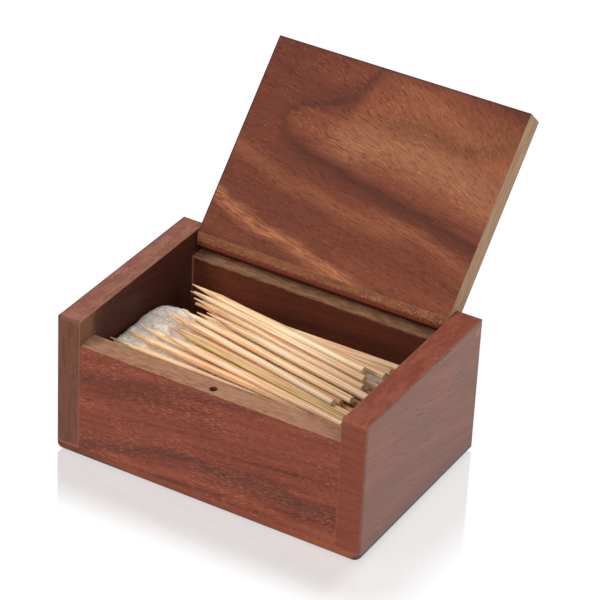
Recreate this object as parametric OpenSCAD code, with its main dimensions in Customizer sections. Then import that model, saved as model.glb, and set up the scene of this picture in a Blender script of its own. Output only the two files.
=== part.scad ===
// Hinged toothpick box in rosewood, shown with its lid open and toothpicks inside.
// Units are millimetres. The origin is the centre of the underside, +Z is up
// and the front faces -Y.

/* [Box] */
// Outer length of the box, from end to end
box_l = 100; // [86:1:130]
// Outer width of the box, from front to back
box_w = 67; // [63:1:90]
// Outer height of the box, which is also the top of the closed lid
box_h = 45; // [38:0.1:60]
// Thickness of each end panel
end_t = 7.7; // [5:0.1:9]
// Thickness of the front and back panels
wall_t = 7.6; // [5:0.1:8.5]
// Thickness of the base board
base_t = 2.7; // [2:0.1:5]
// Radius of the rounded lower edge at the left end
left_foot_r = 3.2; // [0.6:0.1:3.6]
// Radius of the rounded lower edge at the right end
right_foot_r = 1.4; // [0.6:0.1:2.6]
// Radius of the rounded lower edge at the back
rear_foot_r = 2.6; // [0.6:0.1:3.6]
// Radius at the front and back corners of the end panels' tops
top_corner_r = 1.8; // [0.3:0.1:2.4]
// Radius of the sanded outer edges
edge_r = 1; // [0.3:0.1:1.5]
// Radius of the upright edge at the front right
front_corner_r = 1.4; // [0.3:0.1:2.6]
// Radius of that corner's foot, which is sanded most
corner_foot_r = 4; // [2.6:0.1:5]
// Height over which the sanding of that foot fades out
corner_foot_h = 4; // [2:0.1:6]

/* [Lid] */
// Thickness of the lid board
lid_t = 7.8; // [7.4:0.1:9]
// Angle between the closed lid and the lid leaning on its stop
lid_open = 133; // [110:1:138]
// Gap between the lid and each end panel
lid_side_gap = 0.45; // [0.3:0.05:1]
// Gap under the closed lid on the front panel
lid_seat_gap = 0.1; // [0.05:0.05:0.3]
// How far the lid's rear edge stays inside the back of the box
lid_rear_inset = 0.2; // [0:0.1:1]
// Run of the sawn bevel under the rear edge, along the lid
bevel_run = 3.3; // [2.5:0.1:4]
// Rise of that bevel, through the lid's thickness
bevel_rise = 2.3; // [1.5:0.1:3]
// Radius of the lid's front upper edge
lid_nose_r = 1; // [0.5:0.1:2]
// Radius of the lid's other edges
lid_edge_r = 0.3; // [0.1:0.05:0.4]

/* [Hinge] */
// Diameter of the steel hinge pins
pin_d = 2; // [1.6:0.1:2.4]
// Distance from the pin's axis to the lid's upper face
pin_to_top = 3.6; // [3.3:0.1:4]
// Distance from the pin's axis to the lid's rear edge
pin_to_rear = 2.8; // [2.4:0.1:3.2]
// Length of pin inside the lid
pin_in_lid = 8; // [5:0.5:14]
// Radial running gap between the pin and the lid
pin_run_gap = 0.05; // [0.02:0.01:0.1]
// Diameter of the filler plug over each pin
plug_d = 2.8; // [2.5:0.1:3.4]
// Depth of the filler plug
plug_depth = 1.8; // [1:0.1:3]

/* [Front panel hole] */
// Diameter of the blind hole in the front panel's top edge
peg_hole_d = 2.4; // [1.5:0.1:3]
// Depth of that hole
peg_hole_depth = 6; // [3:0.5:12]
// Distance from the front face to the hole's axis
peg_hole_inset = 3.1; // [2.5:0.1:3.5]

/* [Toothpicks] */
// Length of a toothpick
pick_len = 65; // [58:1:70]
// Diameter of a toothpick
pick_d = 2.2; // [1.8:0.1:2.4]
// Length of the tapered point
taper_len = 11; // [6:0.5:14]
// Diameter left at the very point
point_d = 0.35; // [0.2:0.05:0.6]
// Chamfer round the cut end
end_chamfer = 0.15; // [0.05:0.05:0.3]
// Least sideways gap between toothpicks of one layer
pick_side_gap = 0.1; // [0.05:0.05:0.2]
// Height gap between two layers of toothpicks
pick_layer_gap = 0.1; // [0.05:0.05:0.2]
// Free height between the uppermost toothpicks and the closed lid
pick_headroom = 0.4; // [0.2:0.1:1.5]

/* [Wadding pad] */
// Share of the inner width that the pad covers at the left end
pad_left_share = 0.65; // [0.5:0.01:0.7]
// Share of the inner width that the pad covers at the right end
pad_right_share = 0.8; // [0.6:0.01:0.85]
// Gap between the pad and the panels round it
pad_gap = 0.3; // [0.2:0.1:0.6]
// Radius of the pad's soft upper edge
pad_round = 3.2; // [1.5:0.1:5]
// Radius of the pad's upright corners
pad_corner_r = 7; // [4:0.5:9]
// Height of the soft waves over the pad's top
pad_wave = 0.5; // [0:0.1:1]

/* [Hidden] */
$fn = 48;

// How far a cutting tool reaches past the face it cuts
overrun = 1;
// Gap left where the open lid rests on the back panel
stop_gap = 0.03;
// Radial gap of a pin or plug in the end panel that holds it
seat_gap = 0.02;
// Extra depth of the lid's bores past the pins' ends
bore_end_gap = 0.5;

// Radius at which the cone of the front right foot has passed the upright edge
corner_clear_r = (corner_foot_r - front_corner_r) * sqrt(2) + front_corner_r + overrun / 4;

// Faces of the space inside the four panels
inner_l = box_l - 2 * end_t;
inner_w = box_w - 2 * wall_t;
left_x = -inner_l / 2;
front_y = -inner_w / 2;

// The closed lid and the hinge axis
lid_l = inner_l - 2 * lid_side_gap;
lid_w = box_w - lid_rear_inset;
lid_seat_z = box_h - lid_t;
pin_y = -box_w / 2 + lid_w - pin_to_rear;
pin_z = box_h - pin_to_top;
pin_len = end_t - plug_depth + lid_side_gap + pin_in_lid;
lid_bore_l = pin_in_lid + bore_end_gap;

// The open lid's rounded rear edge rests on the back panel. Its centre lies at
// stop_arm from the hinge axis, so the back panel's height follows the angle.
stop_arm = norm([pin_to_rear - lid_edge_r, pin_to_top - lid_edge_r]);
stop_bearing = atan2(pin_to_top - lid_edge_r, pin_to_rear - lid_edge_r);
stop_drop = stop_arm * sin(lid_open - stop_bearing) + lid_edge_r;
front_top = lid_seat_z - lid_seat_gap;
back_top = min(front_top, pin_z - stop_drop - stop_gap);

// Toothpicks lie in layers. Each one has three shares. Within its layer it keeps
// its place in the count, and the first two shares say how much of the width that
// the layer leaves free lies in front of it, at the left and at the right end
// panel. Both grow from one toothpick to the next, so neighbours can't touch. The
// third share is how far along the free length its left end lies. A word after
// them marks the toothpick that lies loose on top and the one put in backwards.
lower_shares = [
    [0.335, 0.003, 0.83],
    [0.465, 0.016, 0.90],
    [0.558, 0.029, 0.80],
    [0.575, 0.064, 0.76],
    [0.592, 0.096, 0.91],
    [0.601, 0.149, 0.83],
    [0.607, 0.243, 0.88],
    [0.617, 0.380, 0.78],
    [0.623, 0.663, 0.50],
    [0.629, 0.672, 0.55]];
middle_shares = [
    [0.182, 0.003, 0.07],
    [0.301, 0.005, 0.18],
    [0.387, 0.007, 0.23],
    [0.546, 0.010, 0.74],
    [0.563, 0.037, 0.43],
    [0.638, 0.072, 0.86, "backward"],
    [0.658, 0.111, 0.75],
    [0.708, 0.132, 0.59],
    [0.743, 0.254, 0.36],
    [0.745, 0.300, 0.60]];
upper_shares = [
    [0.452, 0.002, 0.80],
    [0.503, 0.007, 0.76],
    [0.616, 0.047, 0.44, "loose"],
    [0.640, 0.117, 0.62],
    [0.698, 0.165, 0.97],
    [0.721, 0.182, 0.60],
    [0.722, 0.224, 0.50],
    [0.723, 0.254, 0.37]];
layers = [lower_shares, middle_shares, upper_shares];
picks = [
    for (layer = [0:len(layers) - 1]) for (place = [0:len(layers[layer]) - 1]) [layer, place]];
function pick_shares(pick) = layers[pick[0]][pick[1]];
loose_pick = [for (pick = picks) if (pick_shares(pick)[3] == "loose") pick][0];
packed_picks = [for (pick = picks) if (pick_shares(pick)[3] != "loose") pick];

// Space that a toothpick takes across its layer, at the steepest slope of any
steepest_share = max([for (pick = picks) abs(pick_shares(pick)[0] - pick_shares(pick)[1])]);
pick_pitch = (pick_d + pick_side_gap) / cos(atan(steepest_share * inner_w / inner_l));
layer_step = pick_d + pick_layer_gap;
pick_slack = inner_l - pick_len;

// The pile's top lies under the closed lid and the pad carries the lowest layer
pile_top = lid_seat_z - pick_headroom;
pad_top = pile_top - len(layers) * layer_step;

// The pad rises by a layer at the left, where no toothpick of the lowest layer
// holds it down. The rise starts and is full at these shares of the free length.
rise_start_share = 0.7;
rise_full_share = 0.5;
// Sections along the pad: within the free length, past it and in the right end
free_sections = 14;
long_sections = 8;
end_sections = 6;
// Points over the top of a section, and in each of its two rounded edges
top_points = 9;
edge_points = 5;
// Waves over the pad, along its length and depth
waves_long = 3;
waves_deep = 2;

// Names of the packed toothpicks, numbered from the front of the lowest layer
function pick_name(i) = str("toothpick_", i < 9 ? "0" : "", i + 1);

// Shapes that several pieces share

// What a rounding of radius r takes off a square corner at the origin
module corner_waste(r) {
    difference() {
        translate([-overrun, -overrun]) square(r + overrun);
        translate([r, r]) circle(r);
    }
}

// Rectangle with rounded corners: low left, low right, and the two upper ones
module eased_outline(size, left_r, right_r, top_r) {
    difference() {
        square(size);
        corner_waste(left_r);
        translate([size.x, 0]) mirror([1, 0]) corner_waste(right_r);
        translate([0, size.y]) mirror([0, 1]) corner_waste(top_r);
        translate(size) mirror([1, 0]) mirror([0, 1]) corner_waste(top_r);
    }
}

// What the sanding takes off the foot of the front right corner: a cone widens
// upwards until it clears the upright edge
module corner_foot_waste() {
    translate([box_l / 2 - corner_foot_r, corner_foot_r - box_w / 2, 0])
        difference() {
            translate([0, -corner_foot_r - overrun, -overrun])
                cube([corner_foot_r + overrun, corner_foot_r + overrun, corner_foot_h + overrun]);
            translate([0, 0, -2 * overrun]) cylinder(h = 2 * overrun, r = corner_foot_r);
            cylinder(h = corner_foot_h, r1 = corner_foot_r, r2 = corner_clear_r);
        }
}

// Outer form of the glued and sanded box, which trims every panel
module sanded_form() {
    difference() {
        intersection() {
            translate([-box_l / 2, box_w / 2, 0]) rotate([90, 0, 0])
                linear_extrude(box_w)
                    eased_outline([box_l, box_h], left_foot_r, right_foot_r, edge_r);
            translate([-box_l / 2, -box_w / 2, 0])
                linear_extrude(box_h) eased_outline([box_l, box_w], edge_r, front_corner_r, edge_r);
            translate([-box_l / 2, -box_w / 2, 0]) rotate([90, 0, 90])
                linear_extrude(box_l)
                    eased_outline([box_w, box_h], edge_r, rear_foot_r, top_corner_r);
        }
        corner_foot_waste();
    }
}

// Places its children on the hinge axis, at x and pointing along +X
module on_hinge_axis(x) {
    translate([x, pin_y, pin_z]) rotate([0, 90, 0]) children();
}

// Panels

module base_board() {
    color([0.48, 0.26, 0.17])
        intersection() {
            sanded_form();
            translate([-box_l / 2, -box_w / 2, 0]) cube([box_l, box_w, base_t]);
        }
}

// End panel on side 1 or -1, drilled from outside for the pin and its plug
module end_panel(side) {
    difference() {
        intersection() {
            sanded_form();
            translate([side * (box_l - end_t) / 2, 0, (box_h + base_t) / 2])
                cube([end_t, box_w, box_h - base_t], center = true);
        }
        mirror([side < 0 ? 1 : 0, 0, 0]) {
            on_hinge_axis(inner_l / 2 - overrun)
                cylinder(d = pin_d + 2 * seat_gap, h = end_t + overrun);
            on_hinge_axis(box_l / 2 - plug_depth)
                cylinder(d = plug_d + 2 * seat_gap, h = plug_depth + overrun);
        }
    }
}

module right_end() {
    color([0.50, 0.25, 0.20]) end_panel(1);
}

module left_end() {
    color([0.42, 0.25, 0.19]) end_panel(-1);
}

module front_panel() {
    color([0.51, 0.27, 0.21])
        difference() {
            intersection() {
                sanded_form();
                translate([left_x, -box_w / 2, base_t]) cube([inner_l, wall_t, front_top - base_t]);
            }
            translate([0, -box_w / 2 + peg_hole_inset, front_top - peg_hole_depth])
                cylinder(d = peg_hole_d, h = peg_hole_depth + overrun);
        }
}

module back_panel() {
    color([0.36, 0.17, 0.12])
        intersection() {
            sanded_form();
            translate([left_x, box_w / 2 - wall_t, base_t]) cube([inner_l, wall_t, back_top - base_t]);
        }
}

// Lid

// Section of the lid from front to back, with the bevel under its rear edge
module lid_section() {
    difference() {
        square([lid_w, lid_t]);
        translate([lid_w, 0])
            polygon([
                [-bevel_run - overrun * bevel_run / bevel_rise, -overrun],
                [overrun, -overrun],
                [overrun, bevel_rise + overrun * bevel_rise / bevel_run]]);
        corner_waste(lid_edge_r);
        translate([0, lid_t]) mirror([0, 1]) corner_waste(lid_nose_r);
        translate([lid_w, lid_t]) mirror([1, 0]) mirror([0, 1]) corner_waste(lid_edge_r);
    }
}

// The lid lying closed on the front panel
module closed_lid() {
    difference() {
        translate([0, -box_w / 2, lid_seat_z])
            intersection() {
                translate([-lid_l / 2, 0, 0]) rotate([90, 0, 90]) linear_extrude(lid_l) lid_section();
                translate([-lid_l / 2, 0, 0])
                    linear_extrude(lid_t) eased_outline([lid_l, lid_w], lid_edge_r, lid_edge_r, lid_edge_r);
                translate([-lid_l / 2, lid_w, 0]) rotate([90, 0, 0])
                    linear_extrude(lid_w) eased_outline([lid_l, lid_t], lid_edge_r, lid_edge_r, lid_edge_r);
            }
        for (side = [-1, 1])
            on_hinge_axis(side * (lid_l - lid_bore_l + overrun) / 2)
                cylinder(d = pin_d + 2 * pin_run_gap, h = lid_bore_l + overrun, center = true);
    }
}

module lid() {
    color([0.53, 0.29, 0.19])
        translate([0, pin_y, pin_z]) rotate([-lid_open, 0, 0]) translate([0, -pin_y, -pin_z]) closed_lid();
}

// Hinge pins and the filler over them

module hinge_pin() {
    on_hinge_axis(lid_l / 2 - pin_in_lid) cylinder(d = pin_d, h = pin_len);
}

module right_hinge_pin() {
    color([0.62, 0.62, 0.63]) hinge_pin();
}

module left_hinge_pin() {
    color([0.62, 0.62, 0.63]) mirror([1, 0, 0]) hinge_pin();
}

module filler_plug() {
    on_hinge_axis(box_l / 2 - plug_depth) cylinder(d = plug_d, h = plug_depth);
}

module right_filler_plug() {
    color([0.66, 0.52, 0.42]) filler_plug();
}

module left_filler_plug() {
    color([0.66, 0.52, 0.42]) mirror([1, 0, 0]) filler_plug();
}

// Wadding pad

function eased(t) = t * t * (3 - 2 * t);

// How far a rounding of radius r stands back at distance t from its corner
function round_inset(r, t) = t < r ? r - sqrt(r * r - (r - t) * (r - t)) : 0;

pad_l = inner_l - 2 * pad_gap;
pad_sections = concat(
    [for (k = [0:free_sections]) pick_slack * pow(k / free_sections, 3 / 2)],
    [for (k = [1:long_sections])
        pick_slack + (pad_l - pad_corner_r - pick_slack) * k / long_sections],
    [for (k = [1:end_sections]) pad_l - pad_corner_r * (1 - sin(90 * k / end_sections))]);

// How much higher the pad lies at distance t from its left end
function pad_rise(t) =
    let (left_share = (rise_start_share - t / pick_slack) / (rise_start_share - rise_full_share))
        layer_step * eased(max(0, min(1, left_share)));
function wave_drop(long_share, deep_share) =
    pad_wave * (2 - cos(360 * waves_long * long_share) - cos(360 * waves_deep * deep_share)) / 4;

// Upright section of the pad at distance t from its left end
function pad_section(t) =
    let (end_gap = min(t, pad_l - t),
         inset = round_inset(pad_corner_r, end_gap),
         depth = inner_w * (pad_left_share + (pad_right_share - pad_left_share) * t / pad_l),
         low_y = front_y + pad_gap + inset,
         high_y = front_y + depth - inset,
         top = pad_top + pad_rise(t) - round_inset(pad_round, end_gap),
         flat_w = high_y - low_y - 2 * pad_round,
         x = left_x + pad_gap + t)
        concat(
            [[x, low_y, base_t]],
            [for (k = [0:edge_points])
                let (a = 90 * k / edge_points)
                    [x, low_y + pad_round * (1 - cos(a)), top - pad_round * (1 - sin(a))]],
            [for (k = [1:top_points])
                let (deep_share = k / (top_points + 1))
                    [x, low_y + pad_round + flat_w * deep_share,
                     top - wave_drop(t / pad_l, deep_share)]],
            [for (k = [0:edge_points])
                let (a = 90 * k / edge_points)
                    [x, high_y - pad_round * (1 - sin(a)), top - pad_round * (1 - cos(a))]],
            [[x, high_y, base_t]]);

// Skin over a row of sections with as many points each, closed by a fan at each end
module sectioned_solid(sections) {
    count = len(sections[0]);
    last = len(sections) - 1;
    ends = [for (k = [0, last]) [for (axis = [0:2])
        let (values = [for (p = sections[k]) p[axis]]) (min(values) + max(values)) / 2]];
    points = concat([for (section = sections) for (p = section) p], ends);
    function at(k, i) = k * count + i % count;
    first_end = len(points) - 2;
    polyhedron(points, concat(
        [for (i = [0:count - 1]) [first_end, at(0, i + 1), at(0, i)]],
        [for (k = [0:last - 1]) for (i = [0:count - 1])
            [at(k, i), at(k + 1, i + 1), at(k + 1, i)]],
        [for (k = [0:last - 1]) for (i = [0:count - 1])
            [at(k, i), at(k, i + 1), at(k + 1, i + 1)]],
        [for (i = [0:count - 1]) [first_end + 1, at(last, i), at(last, i + 1)]]));
}

module wadding_pad() {
    color([0.82, 0.79, 0.77]) sectioned_solid([for (t = pad_sections) pad_section(t)]);
}

// Toothpicks

// One toothpick along +X with its point at the origin
module toothpick_shape() {
    rotate([0, 90, 0])
        rotate_extrude()
            polygon([
                [0, 0],
                [point_d / 2, 0],
                [pick_d / 2, taper_len],
                [pick_d / 2, pick_len - end_chamfer],
                [pick_d / 2 - end_chamfer, pick_len],
                [0, pick_len]]);
}

// The toothpick at its layer and place
module toothpick(pick) {
    shares = pick_shares(pick);
    free_w = inner_w - len(layers[pick[0]]) * pick_pitch;
    slope = (shares[1] - shares[0]) * free_w / inner_l;
    along = shares[2] * pick_slack;
    backward = shares[3] == "backward";
    translate([
        left_x + along,
        front_y + (2 * pick[1] + 1) * pick_pitch / 2 + shares[0] * free_w + slope * along,
        pile_top - pick_d / 2 - (len(layers) - 1 - pick[0]) * layer_step])
        rotate([0, 0, atan(slope)])
            translate([backward ? pick_len : 0, 0, 0])
                mirror([backward ? 1 : 0, 0, 0])
                    color([0.86, 0.70, 0.50]) toothpick_shape();
}

base_board();
left_end();
right_end();
front_panel();
back_panel();
lid();
left_hinge_pin();
right_hinge_pin();
left_filler_plug();
right_filler_plug();
wadding_pad();
toothpick(loose_pick);  // loose_toothpick
for (i = [0:len(packed_picks) - 1])
    toothpick(packed_picks[i]);
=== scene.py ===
import math
import random

import bpy
import numpy as np
from mathutils import Euler, Matrix, Vector, noise


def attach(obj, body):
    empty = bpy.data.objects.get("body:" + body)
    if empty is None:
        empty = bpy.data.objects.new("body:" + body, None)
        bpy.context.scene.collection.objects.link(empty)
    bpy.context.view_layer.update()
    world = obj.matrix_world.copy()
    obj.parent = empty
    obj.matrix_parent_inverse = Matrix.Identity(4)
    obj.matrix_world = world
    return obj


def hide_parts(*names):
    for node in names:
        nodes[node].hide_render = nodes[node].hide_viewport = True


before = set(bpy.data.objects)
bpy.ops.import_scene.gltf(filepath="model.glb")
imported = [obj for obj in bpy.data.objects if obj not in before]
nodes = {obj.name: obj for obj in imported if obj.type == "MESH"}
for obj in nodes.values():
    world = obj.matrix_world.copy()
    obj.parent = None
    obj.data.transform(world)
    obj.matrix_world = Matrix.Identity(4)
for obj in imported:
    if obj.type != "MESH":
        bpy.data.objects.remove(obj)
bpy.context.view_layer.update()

mmPerMetre = 1000.0
boxSize = {"length": 100.0, "width": 67.0}

# Places on the wood and in the pad are in millimetres: X to the right, Y to the rear, Z up.
# Masks run from 0 to 1, and a tint is a colour with its strength and, on some, its raggedness.


# Node helpers

def newMaterial(name):
    mat = bpy.data.materials.new(name)
    mat.use_nodes = True
    mat.node_tree.nodes.clear()
    return mat, mat.node_tree


def fill(tree, socket, value):
    if isinstance(value, bpy.types.NodeSocket):
        tree.links.new(value, socket)
    else:
        socket.default_value = value


def addNode(tree, kind, inputs=None, **settings):
    made = tree.nodes.new(kind)
    for key, value in settings.items():
        setattr(made, key, value)
    for key, value in (inputs or {}).items():
        fill(tree, made.inputs[key], value)
    return made


def closeMaterial(tree, shader):
    addNode(tree, "ShaderNodeOutputMaterial", {0: shader.outputs[0]})


def surface(tree, look, shade, height, more=None):
    # the look's own roughness, highlight and bump, unless more gives another
    bump = addNode(tree, "ShaderNodeBump", {
        "Height": height, "Strength": look["bump"], "Distance": look["bumpDepth"]})
    inputs = {"Base Color": shade, "Roughness": look["roughness"],
              "Specular IOR Level": look["specular"], "Normal": bump.outputs[0], **(more or {})}
    closeMaterial(tree, addNode(tree, "ShaderNodeBsdfPrincipled", inputs))


def maths(tree, operation, a, b=0.0, c=0.0, clamp=False):
    inputs = {0: a, 1: b, 2: c}
    return addNode(tree, "ShaderNodeMath", inputs, operation=operation, use_clamp=clamp).outputs[0]


def times(tree, a, b, clamp=False):
    return maths(tree, "MULTIPLY", a, b, clamp=clamp)


def plus(tree, a, b):
    return maths(tree, "ADD", a, b)


def minus(tree, a, b):
    return maths(tree, "SUBTRACT", a, b)


def larger(tree, a, b):
    return maths(tree, "MAXIMUM", a, b)


def smaller(tree, a, b):
    return maths(tree, "MINIMUM", a, b)


def unsigned(tree, value):
    return maths(tree, "ABSOLUTE", value)


def scaled(tree, value, gain, start):
    return maths(tree, "MULTIPLY_ADD", value, gain, start)


def distance(tree, dx, dy):
    return maths(tree, "SQRT", plus(tree, times(tree, dx, dx), times(tree, dy, dy)))


def smoothStep(tree, value, start, end):
    # 0 before start and 1 past end, or the other way round where start is the larger
    made = addNode(tree, "ShaderNodeMapRange", {"Value": value, "From Min": start, "From Max": end},
                   interpolation_type="SMOOTHSTEP")
    return made.outputs["Result"]


def facing(tree, part, start=0.5, full=0.9):
    # 1 on the faces that look along an axis, by their normal's part in it
    return smoothStep(tree, part, start, full)


def mixColour(tree, factor, a, b, blend="MIX"):
    inputs = {0: factor, 6: a, 7: b}
    return addNode(tree, "ShaderNodeMix", inputs, data_type="RGBA", blend_type=blend).outputs[2]


def mixValue(tree, factor, a, b):
    return addNode(tree, "ShaderNodeMix", {0: factor, 2: a, 3: b}).outputs[0]


def splitVector(tree, vector):
    return addNode(tree, "ShaderNodeSeparateXYZ", {0: vector}).outputs


def joinVector(tree, x, y, z):
    return addNode(tree, "ShaderNodeCombineXYZ", {0: x, 1: y, 2: z}).outputs[0]


def mapped(tree, vector, scale=(1, 1, 1), turn=(0, 0, 0), place=(0, 0, 0)):
    inputs = {"Vector": vector, "Location": place, "Rotation": turn, "Scale": scale}
    return addNode(tree, "ShaderNodeMapping", inputs).outputs[0]


def restPoint(tree, turn=(0, 0, 0), place=(0, 0, 0)):
    # the surface's own point in millimetres, turned and then moved
    coords = addNode(tree, "ShaderNodeTexCoord").outputs["Object"]
    return mapped(tree, coords, (mmPerMetre,) * 3, turn, place)


def zone(tree, point, reaches):
    # 1 in a zone. Each reach says where its mask starts along an axis and where it is full.
    parts, mask = splitVector(tree, point), 1.0
    for axis, reach in reaches.items():
        mask = times(tree, mask, smoothStep(tree, parts[axis], *reach))
    return mask


def restNormal(tree, turn=(0, 0, 0)):
    normal = addNode(tree, "ShaderNodeTexCoord").outputs["Normal"]
    return splitVector(tree, mapped(tree, normal, turn=turn))


def noiseAt(tree, vector, scale, offset=0.0, detail=3.0, rough=0.55):
    # scale is in cycles per millimetre, and each offset gives another piece of the noise
    if not isinstance(scale, tuple):
        scale = (scale,) * 3
    moved = mapped(tree, vector, scale, place=(offset, offset * 1.7, -offset))
    made = addNode(tree, "ShaderNodeTexNoise",
                   {"Vector": moved, "Scale": 1.0, "Detail": detail, "Roughness": rough})
    return made.outputs["Fac"]


def patches(tree, vector, scale, offset, start, end, detail=3.0, rough=0.55):
    # soft-edged patches of 1 where the noise is past start
    return smoothStep(tree, noiseAt(tree, vector, scale, offset, detail, rough), start, end)


def wander(tree, vector, scale, offset, reach, detail=3.0, rough=0.55):
    # slow drift to both sides of 0
    return scaled(tree, noiseAt(tree, vector, scale, offset, detail, rough), reach, -reach / 2)


def colour(r, g, b):
    # written as the picture's 0-255 values, kept as linear light
    def linear(v):
        v = v / 255
        return v / 12.92 if v <= 0.04045 else ((v + 0.055) / 1.055) ** 2.4
    return (linear(r), linear(g), linear(b), 1.0)


def colourSteps(tree, value, places, shades):
    made = addNode(tree, "ShaderNodeValToRGB", {0: value})
    steps = made.color_ramp.elements
    while len(steps) < len(places):
        steps.new(0.5)
    for step, place, shade in zip(steps, places, shades):
        step.position = place
        step.color = colour(*shade)
    return made.outputs[0]


def toned(tree, shade, mask, tint, strength):
    # a tint laid over the shade where the mask is 1
    return mixColour(tree, times(tree, mask, strength), shade, colour(*tint))


def lit(tree, shade, lift):
    # shade made lighter or darker
    return mixColour(tree, 1.0, shade, lift, "MULTIPLY")


def lineThrough(tree, value, points, span):
    # smooth line through points (along, across), both in millimetres of the span
    made = addNode(tree, "ShaderNodeFloatCurve", {"Value": maths(tree, "DIVIDE", value, span)})
    made.mapping.extend = "HORIZONTAL"
    marks = made.mapping.curves[0].points
    while len(marks) < len(points):
        marks.new(0.5, 0.5)
    for mark, (along, across) in zip(marks, points):
        mark.location = (along / span, across / span)
    made.mapping.update()
    return times(tree, made.outputs[0], span)


streakEnd = {"outside": 8.0, "inside": 6.0}  # how far a streak fades past its end and before it


def streak(tree, along, across, points, halfWidth, span):
    # 1 on the line and 0 beyond half its width, fading out past an end that lies inside the span
    off = unsigned(tree, minus(tree, across, lineThrough(tree, along, points, span)))
    mask = smoothStep(tree, off, halfWidth, 0.0)
    for end, inwards in ((points[0][0], 1), (points[-1][0], -1)):
        if 0 < end < span:
            start, full = end - inwards * streakEnd["outside"], end + inwards * streakEnd["inside"]
            mask = times(tree, mask, smoothStep(tree, along, start, full))
    return mask


def figureTints(tree, figure, along, across, span, masks=None):
    # an entry has a line and its half width, or a mask's name and None, and then its tint
    tints = []
    for line, halfWidth, *tint in figure:
        mask = streak(tree, along, across, line, halfWidth, span) if halfWidth else masks[line]
        tints.append((mask, *tint))
    return tints


# Camera at the picture's angle

cameraLook = {
    "place": (0.377752, -0.663788, 0.529916),
    "right": (0.859915, 0.508618, 0.043046),
    "down": (0.302187, -0.439304, -0.845988),
    "lens": 192.907, "sensor": 36.0, "nearest": 0.01, "farthest": 20.0,
}


def placeCamera():
    look = cameraLook
    data = bpy.data.cameras.new("pictureCamera")
    data.sensor_width = look["sensor"]
    data.lens = look["lens"]
    data.clip_start = look["nearest"]
    data.clip_end = look["farthest"]
    camera = bpy.data.objects.new("pictureCamera", data)
    bpy.context.scene.collection.objects.link(camera)
    right = Vector(look["right"]).normalized()
    up = -Vector(look["down"])
    back = right.cross(up).normalized()
    up = back.cross(right)
    turn = Matrix((right, up, back)).transposed().to_4x4()
    camera.matrix_world = Matrix.Translation(look["place"]) @ turn
    bpy.context.scene.camera = camera


placeCamera()
print("camera placed")

# Rosewood. Every panel has its own grain direction, colours and figure.

grainLayers = {  # cycles per millimetre along and across, offset, detail, roughness
    "bands": (0.010, 0.12, 3.1, 3.0, 0.55),
    "streaks": (0.022, 0.50, 11.7, 3.0, 0.55),
    "clumps": (0.05, 0.11, 5.0, 3.0, 0.55),
    "torn": (0.2, 1.7, 71.0, 4.0, 0.65),
    "fibres": (0.30, 3.5, 23.0, 4.0, 0.55),
    "flecks": (0.50, 4.0, 37.0, 2.0, 0.55),
    "pores": (0.42, 3.4, 51.0, 2.0, 0.55),
}
woodLook = {  # the same on every panel
    "toneSteps": (0.34, 0.5, 0.66),
    "clumpFrom": 0.42, "clumpFull": 0.62, "betweenClumps": 0.35,
    "fleckFade": 0.10, "fleckLift": (1.8, 2.0, 2.1, 1.0), "fleckShare": 0.5,
    "poreFade": 0.07,
    "fibreRelief": 0.6, "poreRelief": 0.5, "rawRelief": 1.6, "bumpDepth": 0.0003,
    "hollowRoughness": 0.07, "ridgeGloss": -0.25, "coatRoughness": 0.35,
}
rawLook = {  # the sawn edges that were never stained
    "shades": [(138, 95, 71), (167, 121, 93), (186, 141, 113)], "toneSteps": (0.32, 0.5, 0.7),
    "stretch": (0.25, 1.1, 1.1), "roughness": 0.8,
    "dot": (88, 52, 38), "dotAmount": 0.6, "dotSize": (0.7, 1.6, 1.6),
    "dotFrom": 0.36, "dotFull": 0.27,
}


def grainColour(tree, grain, look, tints=(), fibreGrain=None, fleckBoost=1.0):
    # soft bands and streaks, then the panel's own tints, then fibres, flecks and pores
    fine = fibreGrain or grain

    def layer(key, vector):
        along, across, offset, detail, rough = grainLayers[key]
        scale = (along, across, across)
        return noiseAt(tree, vector, scale, offset + look["offset"], detail, rough)

    share = look["streakShare"]
    bands = times(tree, layer("bands", grain), 1 - share)
    tone = scaled(tree, layer("streaks", grain), share, bands)
    shades = (look["dark"], look["body"], look["light"])
    shade = colourSteps(tree, tone, woodLook["toneSteps"], shades)
    torn = layer("torn", fine)
    for mask, tint, strength, *ragged in tints:
        tear = look["tear"] * (ragged[0] if ragged else 1.0)
        tornMask = scaled(tree, torn, tear * strength, (1 - tear / 2) * strength)
        tornMask = times(tree, mask, larger(tree, tornMask, 0.0), clamp=True)
        shade = mixColour(tree, tornMask, shade, colour(*tint))
    fibres = layer("fibres", fine)
    shade = lit(tree, shade, scaled(tree, fibres, 2 * look["fibreDepth"], 1 - look["fibreDepth"]))
    flecks = smoothStep(tree, layer("flecks", fine),
                        look["fleckFrom"], look["fleckFrom"] + woodLook["fleckFade"])
    clumps = smoothStep(tree, layer("clumps", grain), woodLook["clumpFrom"], woodLook["clumpFull"])
    flecks = times(tree, flecks, mixValue(tree, clumps, woodLook["betweenClumps"], 1.0))
    flecks = times(tree, times(tree, flecks, fleckBoost), look["fleckAmount"])
    fleckShade = lit(tree, shade, woodLook["fleckLift"])
    fleckShade = mixColour(tree, woodLook["fleckShare"], fleckShade, colour(*look["fleck"]))
    shade = mixColour(tree, flecks, shade, fleckShade)
    pores = smoothStep(tree, layer("pores", fine),
                       look["poreTo"], look["poreTo"] - woodLook["poreFade"])
    shade = toned(tree, shade, pores, look["pore"], look["poreAmount"])
    relief = minus(tree, times(tree, fibres, woodLook["fibreRelief"]),
                   times(tree, pores, woodLook["poreRelief"]))
    return shade, relief, fibres


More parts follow.
